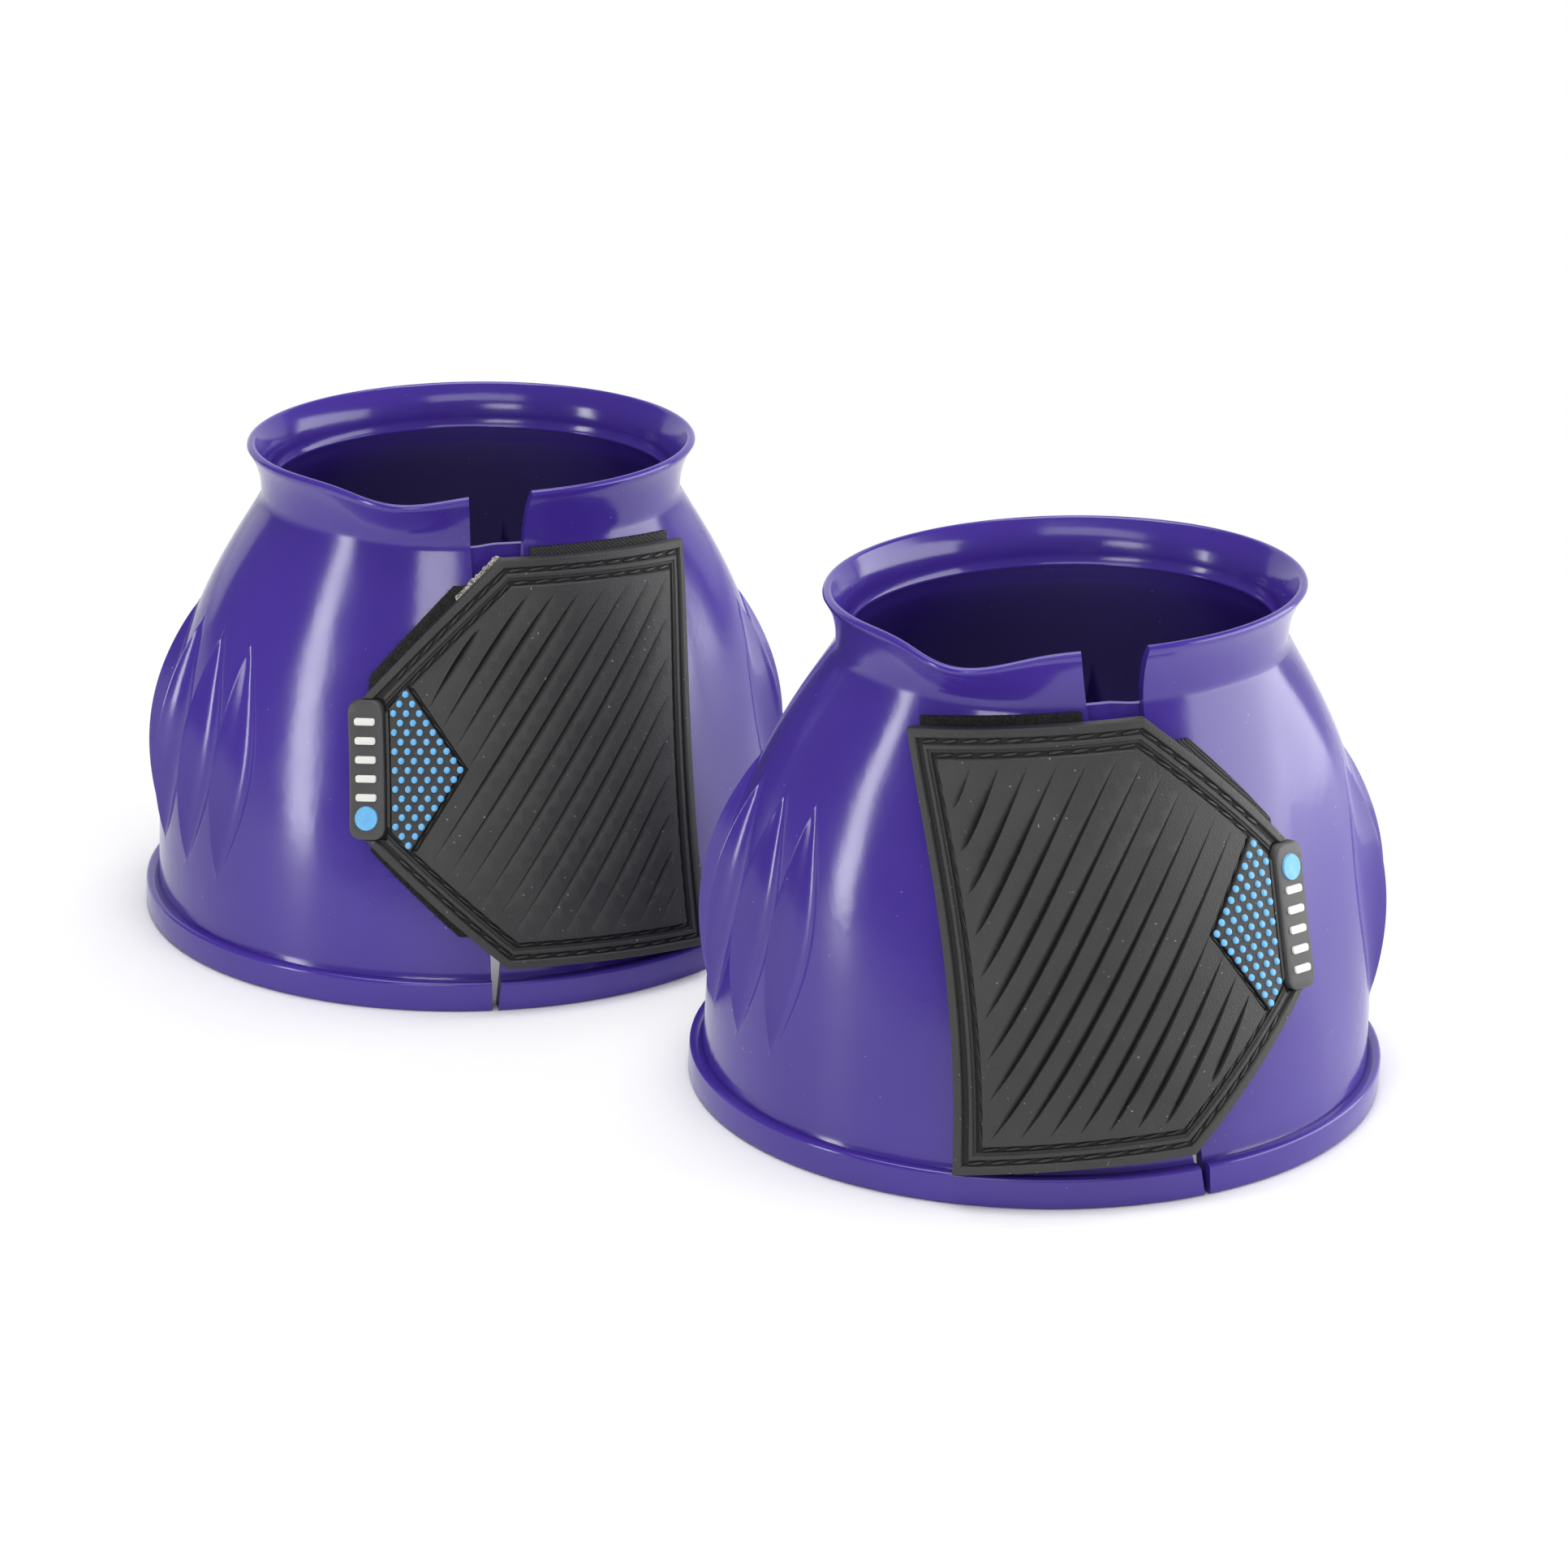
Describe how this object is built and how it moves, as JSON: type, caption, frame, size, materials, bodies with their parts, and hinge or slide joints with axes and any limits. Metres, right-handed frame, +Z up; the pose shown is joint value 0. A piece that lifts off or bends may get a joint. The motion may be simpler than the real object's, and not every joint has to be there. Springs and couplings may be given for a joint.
{
  "type": "overreach boots",
  "caption": "Pair of bell-shaped PVC overreach boots for a horse's hooves, each closed down its front by a ribbed rubber hook-and-loop flap over an inner tongue.",
  "frame": {"origin": "middle of the pair's bounding box, on the ground under the flanges", "axes": "+Z up through the collars, -Y towards the fastening flaps, +X from the left boot towards the right boot"},
  "size_m": [0.3165, 0.2893, 0.1295],
  "materials": {
    "purple_pvc": "glossy moulded PVC",
    "black_rubber": "matt moulded rubber",
    "grey_tab_rubber": "matt moulded rubber",
    "black_loop_pile": "brushed loop pile",
    "black_hook_tape": "woven hook tape"
  },
  "bodies": {
    "right_boot": {"right_shell": "purple_pvc", "right_hinge_side_pad": "black_loop_pile", "right_point_side_pad": "black_hook_tape", "right_inner_loop_pad": "black_loop_pile"},
    "right_inner_leaf": {"right_tongue": "purple_pvc", "right_tongue_hook_pad": "black_hook_tape"},
    "right_closure": {"right_flap_panel": "black_rubber", "right_flap_backing": "black_hook_tape", "right_dot_inlay": "black_rubber", "right_pull_tab": "grey_tab_rubber"},
    "left_boot": {"left_shell": "purple_pvc", "left_hinge_side_pad": "black_loop_pile", "left_point_side_pad": "black_hook_tape", "left_inner_loop_pad": "black_loop_pile"},
    "left_inner_leaf": {"left_tongue": "purple_pvc", "left_tongue_hook_pad": "black_hook_tape"},
    "left_closure": {"left_flap_panel": "black_rubber", "left_flap_backing": "black_hook_tape", "left_dot_inlay": "black_rubber", "left_pull_tab": "grey_tab_rubber"}
  },
  "joints": [
    {"name": "right_flap_hinge", "type": "hinge", "parent": "right_boot", "child": "right_closure", "pos_m": [0.04493, -0.12795, 0.05859], "axis": [0.1103, -0.2681, -0.957], "range_deg": [0, 150]},
    {"name": "right_tongue_hinge", "type": "hinge", "parent": "right_boot", "child": "right_inner_leaf", "pos_m": [0.11776, -0.10731, 0.06271], "axis": [0.1757, -0.1403, -0.9744], "range_deg": [0, 40]},
    {"name": "left_boot_slide", "type": "slide", "parent": "right_boot", "child": "left_boot", "axis": [-1, 0, 0], "range_m": [0, 0.15]},
    {"name": "left_flap_hinge", "type": "hinge", "parent": "left_boot", "child": "left_closure", "pos_m": [-0.01146, 0.01496, 0.05859], "axis": [-0.0703, 0.2602, 0.963], "range_deg": [0, 50]},
    {"name": "left_tongue_hinge", "type": "hinge", "parent": "left_boot", "child": "left_inner_leaf", "pos_m": [-0.08578, -0.00595, 0.06258], "axis": [0.0122, 0.2286, 0.9734], "range_deg": [0, 40]}
  ]
}
